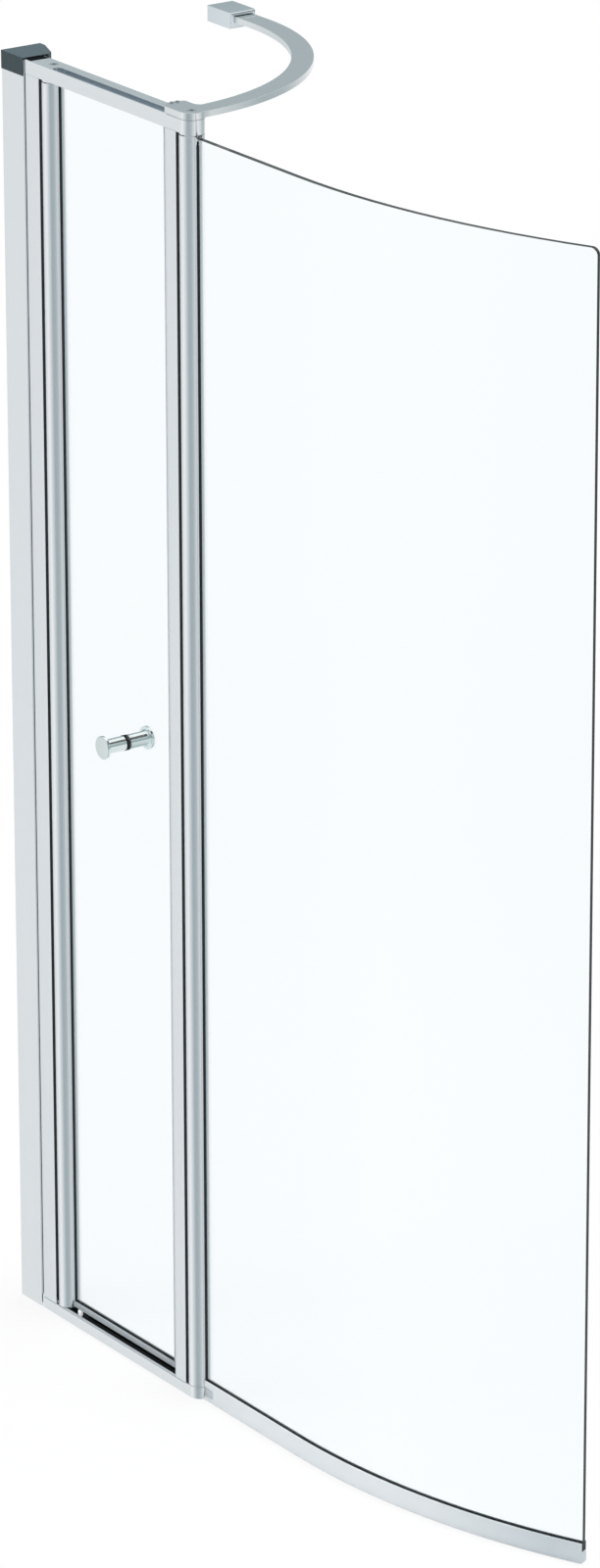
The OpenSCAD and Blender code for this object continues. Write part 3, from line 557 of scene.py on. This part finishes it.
def add_world():
    """Even light for the surfaces, and soft panels round the studio that the metal mirrors"""
    world = bpy.data.worlds.new("world")
    world.use_nodes = True
    nodes, links = world.node_tree.nodes, world.node_tree.links
    even = nodes["Background"]
    even.inputs["Color"].default_value = (1, 1, 1, 1)
    even.inputs["Strength"].default_value = WORLD_LIGHT
    panels = nodes.new("ShaderNodeBackground")
    panels.inputs["Strength"].default_value = 1.0
    where = nodes.new("ShaderNodeTexCoord")
    split = nodes.new("ShaderNodeSeparateXYZ")
    links.new(where.outputs["Generated"], split.inputs["Vector"])
    turn = studio_angle(nodes, links, split)
    height = ranged(nodes, links, split.outputs["Z"], low=-1.0)
    low = round_ramp(nodes, links, turn, STUDIO_PANELS)
    plain, beam, window = (height_ramp(nodes, links, height, sky) for sky in (PLAIN_SKY, BEAM_SKY, WINDOW_SKY))
    beam_share, window_share = (round_ramp(nodes, links, turn, share) for share in (BEAM, WINDOW))
    high = mixed(nodes, links, window_share, mixed(nodes, links, beam_share, plain, beam), window)
    above = ranged(nodes, links, split.outputs["Z"], -HORIZON_BLEND, HORIZON_BLEND)
    links.new(mixed(nodes, links, above, low, high), panels.inputs["Color"])
    path = nodes.new("ShaderNodeLightPath")
    mirrored = larger(nodes, links, path.outputs["Is Glossy Ray"], path.outputs["Is Transmission Ray"])
    links.new(shader_between(nodes, links, mirrored, even.outputs["Background"], panels.outputs["Background"]),
        nodes["World Output"].inputs["Surface"])
    bpy.context.scene.world = world


def add_stage():
    add_floor()
    for name, setting in LAMPS.items():
        add_lamp(name, *setting)
    add_world()
    bpy.context.scene.view_settings.view_transform = "Standard"


# Dressing

def dress_nodes(materials):
    slot_of = {part["node"]: part["material_slot"] for part in frame["record"]["subparts"]}
    for name, node in frame["nodes"].items():
        for slot in node.material_slots:
            slot.material = materials[slot_of[name]]


def soften_frame(materials):
    aluminium = materials["aluminium"]
    # Painted shade: the right stile's aluminium grows darker towards its edge beside the door
    strike = shaded_along_x(aluminium, "strike_edge_shade", *STRIKE_SHADE_X, factor=0.78)
    shade = darkened(aluminium, "hollow_shade", factor=0.2)
    trough = darkened(aluminium, "trough_shade", factor=0.80)
    cap_shade = darkened(aluminium, "cap_shade", factor=0.04)
    softened("right_stile", "frame", 0.12 * MM, strike, shade, in_hollow(PANEL_X))
    for name, body, width, second, where in (
        ("left_stile", "frame", 0.12, shade, in_hollow(DOOR_X)),
        ("top_rail", "frame", 0.3, trough, in_box(TROUGH)),
        ("bottom_rail", "frame", 0.12, None, None),
        ("top_end_block", "frame", 0.25, None, None),
        ("bottom_end_block", "frame", 0.25, None, None),
        ("wall_profile", "frame", 0.25, cap_shade, under_cap),
        ("profile_cover", "frame", 0.25, cap_shade, under_cap),
        ("door_post", "door", 0.3, None, None),
        ("panel_post", "panel", 0.3, None, None),
    ):
        softened(name, body, width * MM, aluminium, second, where)


def soften_fittings(materials):
    chrome, slate = materials["chrome"], materials["slate_plastic"]
    # Painted highlight: brighter chrome on the rounded edges of the stay arm
    bright = metal("painted_highlight_chrome", (0.97, 0.98, 0.99), (0.97, 0.98, 0.99), rough=0.1)
    knob_chrome = metal("knob_chrome", (0.74, 0.80, 0.79), (0.76, 0.82, 0.81), rough=0.1)
    softened("stay_arm", "frame", 0.9 * MM, chrome, edge_highlight=bright)
    softened("stay_bracket", "frame", 0.6 * MM, darkened(chrome, "bracket_chrome", factor=0.9))
    # Painted shade on the faces inside the cap
    softened("profile_cap", "frame", 0.5 * MM, slate, darkened(slate, "cap_inside_shade", factor=0.1),
        in_cap)
    for name in ("outer_knob", "inner_knob"):
        softened(name, "door", 0.3 * MM, knob_chrome)
    # Painted shadow in the joint under the stay's foot
    add_foot_joint_shadow(materials["black_rubber"])
    # Painted shadow beside and behind the cap, in a near-black plastic
    add_cap_shadow_sheets(plastic("painted_shadow_black", (0.002, 0.003, 0.004), (0.004, 0.005, 0.006), rough=0.8, shine=0.02))


def soften_seals(materials):
    milky = materials["clear_seal"]
    grey = darkened(milky, "grey_seal", factor=0.55)
    # Painted shade: the sweep grows darker towards its free end
    sweep = shaded_along_x(milky, "sweep_seal_shade", *SWEEP_SHADE_X, factor=0.77)
    pocket = darkened(milky, "pocket_shade", factor=0.7)
    softened("panel_sweep", "panel", 0.2 * MM, sweep, pocket, in_box(POCKET))
    for name in ("door_drip_seal", "door_edge_seal"):
        softened(name, "door", 0.2 * MM, grey)


def soften_panes(materials):
    pane = materials["glass"]
    # Painted shade on the narrow top and end faces of the panes, where the glass edge looks dark
    edge = darkened(pane, "pane_edge_shade", factor=0.25)
    for name, body in (("door_glass", "door"), ("panel_glass", "panel")):
        softened(name, body, 0.35 * MM, pane, edge, at_pane_edge)


add_camera()
materials = make_materials()
add_stage()
dress_nodes(materials)
soften_frame(materials)
soften_fittings(materials)
soften_seals(materials)
soften_panes(materials)
